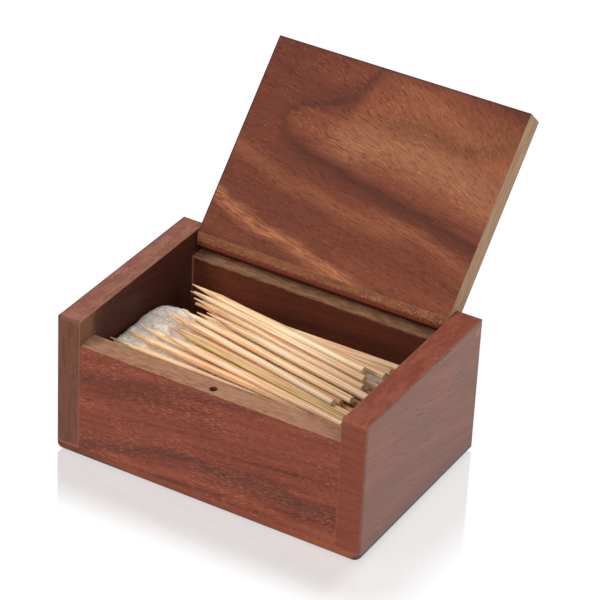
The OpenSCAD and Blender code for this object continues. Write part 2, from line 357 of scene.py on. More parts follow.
def rawColour(tree, point, shades, offset, **changes):
    # a sawn edge's colour and the tone that gives its relief
    look = {**rawLook, **changes}
    tone = noiseAt(tree, point, look["stretch"], offset, 4.0, 0.65)
    shade = colourSteps(tree, tone, look["toneSteps"], shades)
    dots = patches(tree, point, look["dotSize"], offset + 9, look["dotFrom"], look["dotFull"])
    return toned(tree, shade, dots, look["dot"], look["dotAmount"]), tone


def finishWood(tree, shade, relief, look, sheen=None, raw=None):
    # oiled surface: uneven roughness, a fine relief and, on some faces, a clear sheen
    hollows = look["roughness"] + woodLook["hollowRoughness"]
    rough = scaled(tree, relief, woodLook["ridgeGloss"], hollows)
    if raw is not None:
        mask, rawShade, rawTone = raw
        shade = mixColour(tree, mask, shade, rawShade)
        rough = mixValue(tree, mask, rough, rawLook["roughness"])
        relief = mixValue(tree, mask, relief, times(tree, rawTone, woodLook["rawRelief"]))
    more = {"Roughness": rough, "Coat Roughness": woodLook["coatRoughness"]}
    if sheen is not None:
        more["Coat Weight"] = sheen
    surface(tree, {**woodLook, **look}, shade, relief, more)


def dress(node, mat):
    nodes[node].data.materials.clear()
    nodes[node].data.materials.append(mat)


# Front panel: dense pink flecks over red-brown, and a raw tan top edge with the peg hole

frontLook = {
    "dark": (96, 47, 36), "body": (125, 63, 47), "light": (141, 75, 55), "offset": 0.0,
    "streakShare": 0.45, "rise": math.radians(6), "tear": 3.4, "fibreDepth": 0.24,
    "fleck": (184, 112, 88), "fleckFrom": 0.53, "fleckAmount": 0.85,
    "pore": (70, 32, 25), "poreTo": 0.41, "poreAmount": 0.35,
    "roughness": 0.55, "specular": 0.12, "bump": 0.5,
    "wander": 5.0, "wanderSize": (0.06, 0.06, 0.12),
    "veins": [  # points (along, height), half width, tint, strength
        ([(0, 26), (25, 31), (45, 34), (64, 36)], 2.8, (98, 52, 42), 0.6),
        ([(0, 2), (22, 7.5), (38, 12), (52, 13), (74, 12.5), (100, 11)], 2.8, (90, 52, 42), 0.8),
        ([(24, 6), (40, 8.5), (56, 10.5), (76, 10), (100, 6)], 1.3, (98, 54, 42), 0.5),
        ([(34, 24), (60, 27), (100, 25)], 2.2, (112, 56, 44), 0.45),
        ([(40, 12.5), (52, 14.5)], 3.0, (86, 50, 42), 0.5),
        ([(70, 16), (80, 13.5)], 2.4, (84, 48, 40), 0.6),
        ([(0, 18), (24, 22), (44, 24)], 5.0, (140, 74, 57), 0.45),
        ([(18, 3.5), (50, 6), (100, 3.5)], 2.4, (150, 80, 56), 0.55),
    ],
    "stainLine": -33.62, "stainWander": 0.8, "stainFade": 0.35,  # its end on the top edge
    "pale": ((180, 136, 110), 0.5), "palePatches": ((0.07, 0.25, 0.25), 8.0, 0.45, 0.62),
}


def frontPanelMaterial():
    look = frontLook
    mat, tree = newMaterial("frontWood")
    point = restPoint(tree)
    x, y, z = splitVector(tree, point)
    span = boxSize["length"]
    along = plus(tree, x, span / 2)
    height = plus(tree, z, wander(tree, point, look["wanderSize"], 2.0, look["wander"]))
    tints = figureTints(tree, look["veins"], along, height, span)
    grain = mapped(tree, point, turn=(0, look["rise"], 0))
    shade, relief, _ = grainColour(tree, grain, look, tints)
    topFace = facing(tree, restNormal(tree)["Z"], 0.4, 0.7)
    stainEdge = scaled(tree, noiseAt(tree, point, 0.9, 4.0), look["stainWander"], look["stainLine"])
    bare = times(tree, topFace, smoothStep(tree, minus(tree, y, stainEdge), 0.0, look["stainFade"]))
    rawShade, rawTone = rawColour(tree, point, rawLook["shades"], 0.0)
    rawShade = toned(tree, rawShade, patches(tree, point, *look["palePatches"]), *look["pale"])
    finishWood(tree, shade, relief, look, raw=(bare, rawShade, rawTone))
    return mat


# End panels: a mauve sheen outside, redder tops, and grain that falls to the rear

endLook = {  # the same on both
    "streakShare": 0.6, "tear": 1.6, "roughness": 0.5, "specular": 0.15,
    "fall": math.radians(13), "mottleSize": (0.5, 0.16, 0.3), "stripeWander": 6.0,
    "mottleRange": (0.42, 0.62), "ringRange": (0.52, 0.40),
    # painted shade: a dark line on the rounded rear arris of the top, and on the left end's outer
    # arris
    "rim": ((60, 42, 36), 0.75, 0.5), "rimY": (32.6, 33.0),  # dark line along the rear arris
    "worn": ((170, 116, 92), 0.2), "wornReach": 0.5,
    "insideAmount": 0.85, "insideLift": 1.3,
    "dashSize": (0.22, 1.5, 1.5), "dashFade": 0.06, "clumpSize": 0.05, "clumpRange": (0.36, 0.60),
    "dashThin": -24.0, "dashFull": 6.0,  # the open pores thin out to the front
    # the lip is a painted highlight just beside each pore
    "dashParts": [(0.2, (170, 128, 112), 0.33), (0.0, (58, 34, 30), 0.365)],  # lip, then pore
}
rightLook = {
    **endLook,
    "dark": (113, 63, 47), "body": (126, 73, 54), "light": (136, 83, 62), "offset": 15.0,
    "fleck": (184, 134, 112), "fleckFrom": 0.60, "fleckAmount": 0.30,
    "pore": (64, 36, 30), "poreTo": 0.36, "poreAmount": 0.4,
    "fibreDepth": 0.12, "bump": 0.4, "sheen": 0.38,
    "top": ((130, 62, 48), 0.75), "front": ((126, 61, 44), 0.8),
    "ring": ((108, 50, 36), 0.5), "ringSize": (0.06, 0.1, 0.55), "topLight": ((158, 90, 70), 0.5),
    "cloud": ((112, 72, 54), 0.6), "cloudPatches": ((0.06, 0.06, 0.09), 7.0, 0.46, 0.60),
    # painted shade: a dark band along the rounded bottom edge of the outer face, and a browner tint
    # that tones down the sheen at its lower front
    "lowCorner": ((114, 60, 42), 0.35), "lowEdge": ((92, 46, 38), 0.55),
    "zones": {"lowCorner": {"Y": (-16.0, -30.0), "Z": (34.0, 16.0)}, "lowEdge": {"Z": (9.0, 2.0)}},
    "inside": (58, 27, 18), "dashes": 0.9, "topDashes": 0.4,
    "low": (42.3, -33.5, 2.7), "high": (50, 33.5, 45),
}
leftLook = {
    **endLook,
    "dark": (86, 52, 41), "body": (114, 72, 56), "light": (131, 87, 69), "offset": 29.0,
    "fleck": (168, 122, 100), "fleckFrom": 0.57, "fleckAmount": 0.4,
    "pore": (58, 36, 28), "poreTo": 0.385, "poreAmount": 0.5,
    "fibreDepth": 0.28, "bump": 0.5, "sheen": 0.4,
    "top": ((144, 86, 68), 0.75), "front": ((112, 67, 48), 0.8),
    "ring": ((84, 52, 40), 0.5), "ringSize": (1.0, 0.1, 0.07), "topLight": ((172, 116, 96), 0.5),
    # painted shade: a dark line on the rounded outer arris, fainter toward its foot
    "rimX": (-49.1, -49.5), "arris": ((66, 49, 41), 0.7, 0.5), "arrisX": (-48.9, -49.25),
    "arrisFoot": (8.0, 16.0), "arrisFootShare": 0.4,  # the arris is paler at its foot
    # painted shade where the front face turns over into the top
    "turned": ((84, 50, 40), 0.5), "turnedTo": -0.6, "turnedReach": (0.24, 0.08),
    "seam": ((164, 104, 82), 0.3), "seamX": (-42.75, -42.4), "seamZ": (3.3, 2.9),
    "inside": (46, 20, 14), "dashes": 0.5, "topDashes": 1.2,
    # painted light on the inner face near the front, where light falls past the front panel: a
    # half-lit band, then a lit band
    "stripes": [(-16.0, -20.5, (84, 56, 40), 0.5), (-21.6, -25.2, (136, 94, 70), 0.7)],
    "low": (-50, -33.5, 2.7), "high": (-42.3, 33.5, 45),
}


def rightEndTints(tree, point, outer):
    look = rightLook
    masks = {"cloud": patches(tree, point, *look["cloudPatches"], rough=0.6)}
    # the zones are painted shade low on the outer face
    for key, reaches in look["zones"].items():
        masks[key] = zone(tree, point, reaches)
    return [(times(tree, outer, mask), *look[key]) for key, mask in masks.items()]


def leftEndTints(tree, point, normal, front):
    look = leftLook
    x, _, z = splitVector(tree, point)
    # painted shade on the rounded outer arris
    rounded = facing(tree, unsigned(tree, normal["X"]), 0.998, 0.975)
    arris = times(tree, smoothStep(tree, x, *look["arrisX"]), rounded)
    aboveFoot = smoothStep(tree, z, *look["arrisFoot"])
    arris = times(tree, arris, mixValue(tree, aboveFoot, look["arrisFootShare"], 1.0))
    # painted shade where the front face turns over into the top
    offTurn = unsigned(tree, plus(tree, normal["Y"], -look["turnedTo"]))
    turned = smoothStep(tree, offTurn, *look["turnedReach"])
    seam = larger(tree, smoothStep(tree, x, *look["seamX"]), smoothStep(tree, z, *look["seamZ"]))
    return [(arris, *look["arris"]), (turned, *look["turned"]),
            (times(tree, seam, front), *look["seam"])]


def openPores(tree, shade, point, grain, look, outer, top):
    # short open pores on the outer face and the top, each with a painted highlight on its lip
    offset, y = look["offset"], splitVector(tree, point)["Y"]
    toRear = smoothStep(tree, y, look["dashThin"], look["dashFull"])
    place = patches(tree, point, look["clumpSize"], 61.0 + offset, *look["clumpRange"])
    place = times(tree, place, mixValue(tree, toRear, 0.45, 1.0))
    place = times(tree, place, larger(tree, outer, times(tree, top, look["topDashes"])))
    place = times(tree, place, look["dashes"])
    for shift, tint, start in look["dashParts"]:
        moved = mapped(tree, grain, place=(0, 0, shift))
        end = start - look["dashFade"]
        dash = patches(tree, moved, look["dashSize"], 83.0 + offset, start, end, 1.0)
        shade = toned(tree, shade, dash, tint, place)
    return shade


def panelEdge(tree, point, low, high):
    # distance in millimetres to the nearest edge of a box, for a point on its skin
    a, b, c = (smaller(tree, minus(tree, value, start), minus(tree, end, value))
               for value, start, end in zip(splitVector(tree, point), low, high))
    return smaller(tree, larger(tree, a, b), larger(tree, smaller(tree, a, b), c))


def wornEdge(tree, point, low, high, reach, offset):
    # 1 along the arrises, broken up by patches
    edge = minus(tree, panelEdge(tree, point, low, high), reach * 0.3)
    ragged = scaled(tree, noiseAt(tree, point, 0.5, offset), reach * 1.6, edge)
    return smoothStep(tree, ragged, reach * 1.4, reach * 0.5)


def endPanelMaterial(name, look, side):
    # side is 1 at the right and -1 at the left
    mat, tree = newMaterial(name)
    point, normal = restPoint(tree), restNormal(tree)
    x, y, _ = splitVector(tree, point)
    nx, ny, nz = normal
    offset = look["offset"]
    # fibres run along Y and fall to the rear
    fallen = mapped(tree, point, turn=(look["fall"], 0, 0))
    grain = mapped(tree, fallen, turn=(0, 0, math.radians(-90)))
    outer = facing(tree, times(tree, nx, side), 0.45)
    inner = facing(tree, times(tree, nx, -side))
    top = facing(tree, nz, 0.45)
    front = facing(tree, ny, -0.45, -0.9)
    rings = patches(tree, point, look["ringSize"], 17.0 + offset, *look["ringRange"], rough=0.6)
    mottle = patches(tree, point, look["mottleSize"], 27.0 + offset, *look["mottleRange"],
                     rough=0.6)
    tints = [(top, *look["top"]), (front, *look["front"]),
             (times(tree, rings, front), *look["ring"]),
             (times(tree, mottle, top), *look["topLight"])]
    # painted shade on the rounded top arrises, where the normal turns
    rim = smoothStep(tree, y, *look["rimY"])
    if side > 0:
        tints += rightEndTints(tree, point, outer)
    else:
        tints += leftEndTints(tree, point, normal, front)
        rim = larger(tree, rim, smoothStep(tree, x, *look["rimX"]))  # the outer arris too
    turnedUp = times(tree, facing(tree, nz, 0.985, 0.93), facing(tree, nz, 0.2, 0.45))
    tints.append((times(tree, rim, turnedUp), *look["rim"]))
    shade, relief, fibres = grainColour(tree, grain, look, tints)
    shade = openPores(tree, shade, point, grain, look, outer, top)

    lighter = [look["insideLift"] * v for v in look["inside"]]
    insideShade = mixColour(tree, fibres, colour(*look["inside"]), colour(*lighter))
    shade = mixColour(tree, times(tree, inner, look["insideAmount"]), shade, insideShade)
    # painted light on the front part of the left end's inner face
    if side < 0:
        faded = noiseAt(tree, point, 0.2, 13.0, rough=0.6)
        faded = scaled(tree, faded, look["stripeWander"], y)
        for start, end, *tint in look["stripes"]:
            stripe = times(tree, smoothStep(tree, faded, start, end), inner)
            shade = toned(tree, shade, stripe, *tint)
    worn = wornEdge(tree, point, look["low"], look["high"], look["wornReach"], 3.0 + offset)
    shade = toned(tree, shade, worn, *look["worn"])
    finishWood(tree, shade, relief, look, sheen=times(tree, outer, look["sheen"]))
    return mat


# Base board: an orange-brown edge under the panels, with painted shade along its foot

baseLook = {
    "dark": (100, 50, 38), "body": (128, 66, 49), "light": (146, 82, 60), "offset": 7.0,
    "streakShare": 0.5, "tear": 2.0, "fibreDepth": 0.2,
    "fleck": (186, 122, 88), "fleckFrom": 0.58, "fleckAmount": 0.4,
    "pore": (76, 36, 26), "poreTo": 0.40, "poreAmount": 0.35,
    "roughness": 0.55, "specular": 0.12, "bump": 0.5, "sheen": 0.38,
    "right": ((158, 86, 56), 0.5), "left": ((104, 57, 45), 0.85), "seam": ((168, 108, 86), 0.35),
    # painted shade: a dark band at the right end of the foot, and a dark line along the whole
    # bottom edge
    "sides": ((112, 70, 58), 0.85), "rightFoot": ((66, 54, 48), 0.9), "foot": ((62, 36, 30), 0.6),
    "zones": {  # laid over each other in this order
        "right": {"X": (5.0, 42.0)}, "left": {"X": (-22.0, -42.0)},
        "seam": {"Z": (2.25, 2.6), "X": (-41.6, -42.6)}, "sides": {},
        # painted shade along the foot
        "rightFoot": {"X": (47.4, 48.8), "Z": (2.4, 1.3)}, "foot": {"Z": (0.9, 0.2)},
    },
}


def baseBoardMaterial():
    look = baseLook
    mat, tree = newMaterial("baseWood")
    point = restPoint(tree)
    masks = {key: zone(tree, point, reaches) for key, reaches in look["zones"].items()}
    masks["sides"] = sides = facing(tree, unsigned(tree, restNormal(tree)["X"]))
    tints = [(mask, *look[key]) for key, mask in masks.items()]
    shade, relief, _ = grainColour(tree, point, look, tints)
    finishWood(tree, shade, relief, look, sheen=times(tree, sides, look["sheen"]))
    return mat


# Back panel: dark inside, with a raw rough top, and painted light toward the left

backLook = {
    "dark": (74, 35, 23), "body": (90, 43, 28), "light": (104, 53, 34), "offset": 41.0,
    "streakShare": 0.4, "rise": math.radians(4), "tear": 2.0, "fibreDepth": 0.18,
    "fleck": (156, 104, 70), "fleckFrom": 0.60, "fleckAmount": 0.3,
    "pore": (46, 20, 15), "poreTo": 0.40, "poreAmount": 0.4,
    "roughness": 0.6, "specular": 0.15, "bump": 0.5,
    "outside": ((126, 66, 50), 0.8), "joint": ((140, 96, 78), 0.8, 0.3),
    "jointZone": {"X": (-41.5, -42.0), "Z": (20.0, 30.0)}, "leftReach": (-8.0, -44.0),
    "raggedSize": (0.35, 1.0, 1.6), "rawEdge": (36.2, 36.9),
    "rawShades": [(110, 75, 54), (141, 101, 74), (160, 120, 92)], "rawDepth": 1.8,
    # painted light: how much lighter the raw top and the inner face are made toward the left
    "leftRawLift": 1.35, "leftInsideLift": 1.9,
}


def backPanelMaterial():
    look = backLook
    mat, tree = newMaterial("backWood")
    point = restPoint(tree)
    x, _, z = splitVector(tree, point)
    _, ny, nz = restNormal(tree)
    tints = [(facing(tree, ny), *look["outside"]),
             (zone(tree, point, look["jointZone"]), *look["joint"])]
    grain = mapped(tree, point, turn=(0, look["rise"], 0))
    shade, relief, _ = grainColour(tree, grain, look, tints)
    ragged = noiseAt(tree, point, look["raggedSize"], 6.0, 4.0, 0.7)
    border = scaled(tree, ragged, look["rawDepth"], minus(tree, z, look["rawDepth"] / 2))
    bare = larger(tree, facing(tree, nz, 0.4, 0.7), smoothStep(tree, border, *look["rawEdge"]))
    rawShade, rawTone = rawColour(tree, point, look["rawShades"], 5.0)
    # painted light: the raw top and the inner face are made lighter toward the left, against the
    # shade that falls there
    toLeft = smoothStep(tree, x, *look["leftReach"])
    rawShade = lit(tree, rawShade, mixValue(tree, toLeft, 1.0, look["leftRawLift"]))
    inside = times(tree, toLeft, facing(tree, ny, 0.3, -0.3))
    shade = lit(tree, shade, mixValue(tree, inside, 1.0, look["leftInsideLift"]))
    finishWood(tree, shade, relief, look, raw=(bare, rawShade, rawTone))
    return mat


# Lid: the figure runs round a dark vein like a hairpin, open to the right.
# Its places are in millimetres from the lid's left edge and its front edge.

lidLook = {
    "dark": (98, 48, 34), "body": (116, 60, 42), "light": (130, 72, 50), "offset": 63.0,
    "streakShare": 0.45, "tear": 3.0, "fibreDepth": 0.34,
    "fleck": (176, 116, 80), "fleckFrom": 0.57, "fleckAmount": 0.30, "fleckBoost": (1.2, 2.7),
    "pore": (70, 36, 27), "poreTo": 0.41, "poreAmount": 0.48,
    "roughness": 0.62, "specular": 0.12, "bump": 0.4,
    "open": math.radians(133), "axis": (0, 30.5, 41.4),  # how far it leans back, and about what
    "left": 41.85, "front": 33.5, "span": 84.0, "bevelFrom": 30.0,
    "drift": 0.07, "wander": 2.6, "fineDrift": (0.07, 0.5, 0.5), "fineWander": 4.6,
    "fibrePole": (114.0, 44.5), "fan": 60.0, "slope": 0.2,
    "bend": 13.0, "pastBend": (13.0, 22.0), "topReach": (13.5, 10.5),
    "veinWidth": 2.3, "haloWidth": 5.0, "heartDepth": (2.0, 13.0), "cornerReach": (26.0, 8.0),
    "lower": [(0, 21.5), (11.5, 21.5), (12.6, 25), (15, 28.3), (21, 30.8), (31.4, 32.7),
              (41.4, 34.8), (56.5, 37.4), (70.8, 40), (84, 42.2)],
    "upper": [(0, 21.5), (11.5, 21.5), (13.5, 19.2), (20.6, 16), (26.4, 13.1), (31.4, 9.6),
              (34.3, 3), (37.1, 0), (84, 0)],
    "figure": [  # points and half width, or a mask, then tint, strength, raggedness
        ("corner", None, (100, 50, 36), 0.7),
        ([(14, 6), (22, 6), (32, 3)], 6.0, (138, 76, 52), 0.5),
        ("outside", None, (101, 50, 37), 0.62, 0.7),
        ("band", None, (98, 50, 37), 0.75, 0.5),
        ("heart", None, (142, 82, 54), 0.72),
        ([(30, 26), (46, 22), (66, 24), (84, 29)], 11.0, (162, 107, 75), 0.58),
        ([(40, 3), (56, 7), (84, 20)], 5.0, (148, 90, 62), 0.48),
        ([(42, 16.5), (56, 15.3), (67, 17), (75, 15), (84, 10)], 4.6, (104, 62, 42), 0.5),
        ([(64, 6), (74, 8.5), (84, 6)], 4.2, (112, 66, 46), 0.5),
        ("halo", None, (96, 50, 37), 0.6, 0.5),
        ([(25, 13.5), (31.4, 9.6), (37, 0)], 5.5, (94, 52, 39), 0.5, 0.6),
        ("vein", None, (62, 34, 28), 0.62, 0.4),
        ([(0, 34.8), (10, 37.5), (20.6, 41.4), (31, 42.4), (42.2, 45), (60, 46)], 4.2,
         (150, 88, 60), 0.5),
        ([(50, 42), (70, 45.4), (84, 49.5)], 3.4, (156, 92, 64), 0.5),
        ([(0, 43), (14, 48), (36, 51), (56, 52)], 3.4, (104, 52, 38), 0.5),
        ([(62, 50), (74, 53.5), (84, 57)], 2.4, (98, 52, 38), 0.5, 0.5),
        ([(0, 50.3), (6, 53), (13.5, 55.4), (27.8, 57.8), (38.6, 60.6), (53, 64)], 4.0,
         (176, 110, 73), 0.72, 1.5),
        ([(36, 56), (50, 57.8), (62, 61.5)], 2.6, (98, 52, 38), 0.5, 0.5),
        ([(2, 52.3), (13, 56.6), (24, 58.6)], 0.9, (104, 56, 38), 0.5),
        ([(0, 60), (14, 62)], 3.0, (120, 62, 42), 0.5),
        ([(44, 57), (64, 60), (84, 62)], 3.5, (144, 78, 54), 0.4),
    ],
    "sideShades": [(146, 114, 89), (163, 131, 105), (178, 146, 119)],
    "sideSaw": {"stretch": (1.0, 0.10, 0.75), "dotSize": 2.4, "dotAmount": 0.3},
    "bevelShades": [(122, 76, 52), (141, 89, 62), (160, 106, 76)],
    "bevelTorn": (208, 148, 108), "bevelTears": ((1.1, 2.6, 2.6), 57.0, 0.54, 0.66),
    "tearsTo": (0.0, 32.0), "tearStrength": (0.25, 0.75),  # more of them to the right
    "outerLip": ((84, 72, 62), 0.75), "lipZ": (44.2, 44.7),
    "bevelArris": ((104, 44, 28), 0.85), "bevelArrisZ": (39.2, 39.9),
    # the arris tint is painted shade, a dark line along the rounded left and front arrises
    "rear": ((104, 40, 26), 0.8), "arris": ((48, 35, 28), 0.85),
    "arrisLeft": (0.62, 0.32), "arrisFront": (0.7, 0.3), "arrisFrontShare": 0.6,
}


def lidSawnEdges(tree, point, normal):
    # the two sides and the bevel under the rear edge: where they are, their colour and their relief
    look = lidLook
    px, py, pz = splitVector(tree, point)
    sides = facing(tree, unsigned(tree, normal["X"]), 0.5, 0.85)
    under = facing(tree, normal["Z"], -0.2, -0.5)
    behind = smoothStep(tree, py, look["bevelFrom"] - 0.15, look["bevelFrom"] + 0.1)
    bevel = times(tree, under, behind)
    rawShade, rawTone = rawColour(tree, point, look["sideShades"], 12.0, **look["sideSaw"])
    outerLip = times(tree, sides, smoothStep(tree, pz, *look["lipZ"]))
    rawShade = toned(tree, rawShade, outerLip, *look["outerLip"])
    bevelShade, _ = rawColour(tree, point, look["bevelShades"], 31.0)
    torn = patches(tree, point, *look["bevelTears"])
    toRight = mixValue(tree, smoothStep(tree, px, *look["tearsTo"]), *look["tearStrength"])
    bevelShade = toned(tree, bevelShade, torn, look["bevelTorn"], toRight)
    rawShade = mixColour(tree, bevel, rawShade, bevelShade)
    fuzzy = scaled(tree, noiseAt(tree, point, 1.4, 21.0, 4.0), 1.6, pz)
    arris = times(tree, bevel, smoothStep(tree, fuzzy, *look["bevelArrisZ"]))
    rawShade = toned(tree, rawShade, arris, *look["bevelArris"])
    return larger(tree, sides, bevel), rawShade, rawTone


def lidMaterial():
    look = lidLook
    mat, tree = newMaterial("lidWood")
    turn, axis = (look["open"], 0, 0), Vector(look["axis"])
    point = restPoint(tree, turn, axis - Euler(turn).to_matrix() @ axis)
    normal = restNormal(tree, turn)
    px, py, pz = splitVector(tree, point)
    span = look["span"]
    flatX = plus(tree, px, look["left"])
    flatY = plus(tree, py, look["front"])
    u = plus(tree, flatX, wander(tree, point, look["drift"], 1.0, look["wander"]))
    v = plus(tree, flatY, wander(tree, point, look["drift"], 19.0, look["wander"]))
    v = plus(tree, v, wander(tree, point, look["fineDrift"], 33.0, look["fineWander"], 4.0, 0.6))

    # depth inside the hairpin, 0 on the vein
    lower = lineThrough(tree, u, look["lower"], span)
    upper = lineThrough(tree, u, look["upper"], span)
    depth = smaller(tree, minus(tree, lower, v), minus(tree, v, upper))
    depth = minus(tree, depth, larger(tree, minus(tree, look["bend"], u), 0.0))
    onLine = unsigned(tree, depth)
    veinWeight = scaled(tree, noiseAt(tree, point, look["drift"], 47.0), 1.0, 0.2)
    pastBend = scaled(tree, smoothStep(tree, u, *look["pastBend"]), 0.8, 0.2)
    vein = times(tree, smoothStep(tree, onLine, look["veinWidth"], 0.0),
                 times(tree, veinWeight, pastBend), clamp=True)
    nearTop = scaled(tree, smoothStep(tree, v, *look["topReach"]), -0.55, 1.0)
    outside = smoothStep(tree, depth, -0.5, -4.0)
    band = smoothStep(tree, depth, -9.0, -1.5)
    masks = {
        "corner": smoothStep(tree, plus(tree, u, v), *look["cornerReach"]),
        "outside": times(tree, outside, smoothStep(tree, u, 44.0, 16.0)),
        "band": times(tree, band, smoothStep(tree, depth, 1.5, -0.5)),
        "heart": smoothStep(tree, depth, *look["heartDepth"]),
        "halo": smoothStep(tree, onLine, look["haloWidth"], 0.0),
        "vein": times(tree, vein, nearTop),
    }
    tints = figureTints(tree, look["figure"], u, v, span, masks)

    # fibres fan out from a pole at the right above the vein, and lie level below it
    poleX, poleY = look["fibrePole"]
    dx, dy = minus(tree, flatX, poleX), minus(tree, flatY, poleY)
    angle = maths(tree, "ARCTAN2", dy, times(tree, dx, -1.0))
    fan = joinVector(tree, distance(tree, dx, dy), times(tree, angle, look["fan"]), pz)
    level = joinVector(tree, flatX, minus(tree, flatY, times(tree, flatX, look["slope"])), pz)
    belowVein = smoothStep(tree, minus(tree, v, lower), -3.0, 3.0)
    inputs = {0: belowVein, 4: fan, 5: level}
    fibreGrain = addNode(tree, "ShaderNodeMix", inputs, data_type="VECTOR").outputs[1]
    boost = mixValue(tree, masks["heart"], *look["fleckBoost"])
    shade, relief, _ = grainColour(tree, level, look, tints, fibreGrain, boost)

    shade = toned(tree, shade, facing(tree, normal["Y"]), *look["rear"])
    # painted shade along the rounded left and front arrises
    frontArris = smoothStep(tree, flatY, *look["arrisFront"])
    arrisShade = larger(tree, smoothStep(tree, flatX, *look["arrisLeft"]),
                     times(tree, frontArris, look["arrisFrontShare"]))
    arrisShade = times(tree, arrisShade, facing(tree, unsigned(tree, normal["Z"]), 0.6))
    shade = toned(tree, shade, arrisShade, *look["arris"])
    finishWood(tree, shade, relief, look, raw=lidSawnEdges(tree, point, normal))
    return mat


dress("front_panel", frontPanelMaterial())
dress("base_board", baseBoardMaterial())
dress("right_end", endPanelMaterial("rightEndWood", rightLook, 1))
dress("left_end", endPanelMaterial("leftEndWood", leftLook, -1))
dress("back_panel", backPanelMaterial())
dress("lid", lidMaterial())
print("rosewood panels finished")

# Bamboo toothpicks: every one has its own shade, with fibres along its length

bambooLook = {
    "pale": [(220, 166, 117), (255, 213, 168), (255, 235, 203)],
    "warm": [(206, 150, 105), (246, 198, 151), (254, 222, 184)],
    "olive": [(172, 134, 76), (218, 176, 116), (240, 208, 154)],
    "deep": [(184, 120, 72), (230, 170, 112), (246, 200, 148)],
    "toneSteps": (0.40, 0.5, 0.60), "lift": (0.93, 1.03),
    "tip": ((196, 138, 88), 0.45), "tipReach": 6.0, "endReach": 0.0002,
    "crack": ((140, 94, 58), 0.6), "crackSize": (0.04, 3.0, 3.0), "crackRange": (0.36, 0.29),
    # the lift at the thin end is painted light and the darkening at the cut end is painted shade
    "thinEnd": 1.06, "cutEnd": 0.84, "darkerFrom": 30.0, "darkerFull": 62.0,  # along its length
    "cut": (255, 222, 178),
    "cutSpots": ((186, 136, 92), 0.7), "spotSize": 3.0, "spotRange": (0.44, 0.34),
    "roughness": 0.5, "specular": 0.3, "bump": 0.5, "bumpDepth": 0.0002,
}
bambooShades = {
    "olive": ("toothpick_16", "toothpick_22"),
    "deep": ("toothpick_01", "toothpick_18"),
    "warm": ("toothpick_05", "toothpick_09", "toothpick_12", "toothpick_14", "toothpick_20",
             "toothpick_25"),
}


def pickLine(node):
    # thin end and direction of a toothpick, from its thin end to its cut end
    points = np.array([v.co[:] for v in nodes[node].data.vertices])
    middle = (points.min(0) + points.max(0)) / 2
    _, _, axes = np.linalg.svd(points - points.mean(0), full_matrices=False)
    along = (points - middle) @ axes[0]
    off = np.linalg.norm((points - middle) - np.outer(along, axes[0]), axis=1)
    reach = bambooLook["endReach"]
    left, right = along < along.min() + reach, along > along.max() - reach
    direction = axes[0] if off[left].max() < off[right].max() else -axes[0]
    tip = middle + direction * ((points - middle) @ direction).min()
    return Vector(tip), Vector(direction)


def bambooMaterial(node, shades, offset):
    look = bambooLook
    mat, tree = newMaterial(node.replace("_", "") + "Bamboo")
    tip, direction = pickLine(node)
    turn = (0, 0, -math.atan2(direction.y, direction.x))
    grain = restPoint(tree, turn, -(Euler(turn).to_matrix() @ tip) * mmPerMetre)
    along = splitVector(tree, grain)["X"]
    tone = noiseAt(tree, grain, (0.03, 1.3, 1.3), offset)
    fine = noiseAt(tree, grain, (0.06, 3.8, 3.8), offset + 3)
    mixed = scaled(tree, fine, 0.5, times(tree, tone, 0.5))
    shade = colourSteps(tree, mixed, look["toneSteps"], shades)
    nearTip = smoothStep(tree, along, look["tipReach"], 0.0)
    shade = toned(tree, shade, nearTip, *look["tip"])
    cracks = patches(tree, grain, look["crackSize"], offset + 7, *look["crackRange"], 2.0)
    shade = toned(tree, shade, cracks, *look["crack"])
    # painted shade toward the cut end and painted light toward the thin end, standing in for light
    # falling off across the pile
    toCut = smoothStep(tree, along, look["darkerFrom"], look["darkerFull"])
    shade = lit(tree, shade, mixValue(tree, toCut, look["thinEnd"], look["cutEnd"]))
    spots = patches(tree, grain, look["spotSize"], offset + 9, *look["spotRange"], 2.0)
    cutShade = toned(tree, colour(*look["cut"]), spots, *look["cutSpots"])
    cutFace = facing(tree, restNormal(tree, turn)["X"], 0.6, 0.85)
    surface(tree, look, mixColour(tree, cutFace, shade, cutShade), mixed)
    return mat


def dressToothpicks():
    draw = random.Random(4)
    for node in sorted(n for n in nodes if "toothpick" in n):
        kind = next((k for k, names in bambooShades.items() if node in names), "pale")
        lift = draw.uniform(*bambooLook["lift"])
        shades = [[min(255, channel * lift) for channel in shade] for shade in bambooLook[kind]]
        dress(node, bambooMaterial(node, shades, draw.uniform(0, 90)))


dressToothpicks()
print("toothpicks finished")

# Steel pins and the filler over them

pinLook = {"steel": (150, 150, 152), "pale": (0.5, 0.5, 0.5, 1), "smoothest": 0.22, "lines": 0.2}
fillerLook = {
    "shades": [(98, 60, 46), (152, 112, 92), (172, 132, 108)], "toneSteps": (0.3, 0.48, 0.7),
    "roughness": 0.75, "specular": 0.5, "bump": 0.6, "bumpDepth": 0.0003,
}


def pinMaterial():
    mat, tree = newMaterial("pinSteel")
    lines = noiseAt(tree, restPoint(tree), (6.0, 0.5, 0.5), 2.0)
    shade = mixColour(tree, lines, colour(*pinLook["steel"]), pinLook["pale"])
    rough = scaled(tree, lines, pinLook["lines"], pinLook["smoothest"])
    closeMaterial(tree, addNode(tree, "ShaderNodeBsdfPrincipled", {
        "Base Color": shade, "Metallic": 1.0, "Roughness": rough}))
    return mat


def fillerMaterial():
    look = fillerLook
    mat, tree = newMaterial("fillerPaste")
    tone = noiseAt(tree, restPoint(tree), 0.9, 3.0, 4.0)
    surface(tree, look, colourSteps(tree, tone, look["toneSteps"], look["shades"]), tone)
    return mat


steel = pinMaterial()
filler = fillerMaterial()
for side in ("left", "right"):
    dress(side + "_hinge_pin", steel)
    dress(side + "_filler_plug", filler)
print("pins and filler finished")

# Wadding pad: tufted skin with loose strands over it, in millimetres

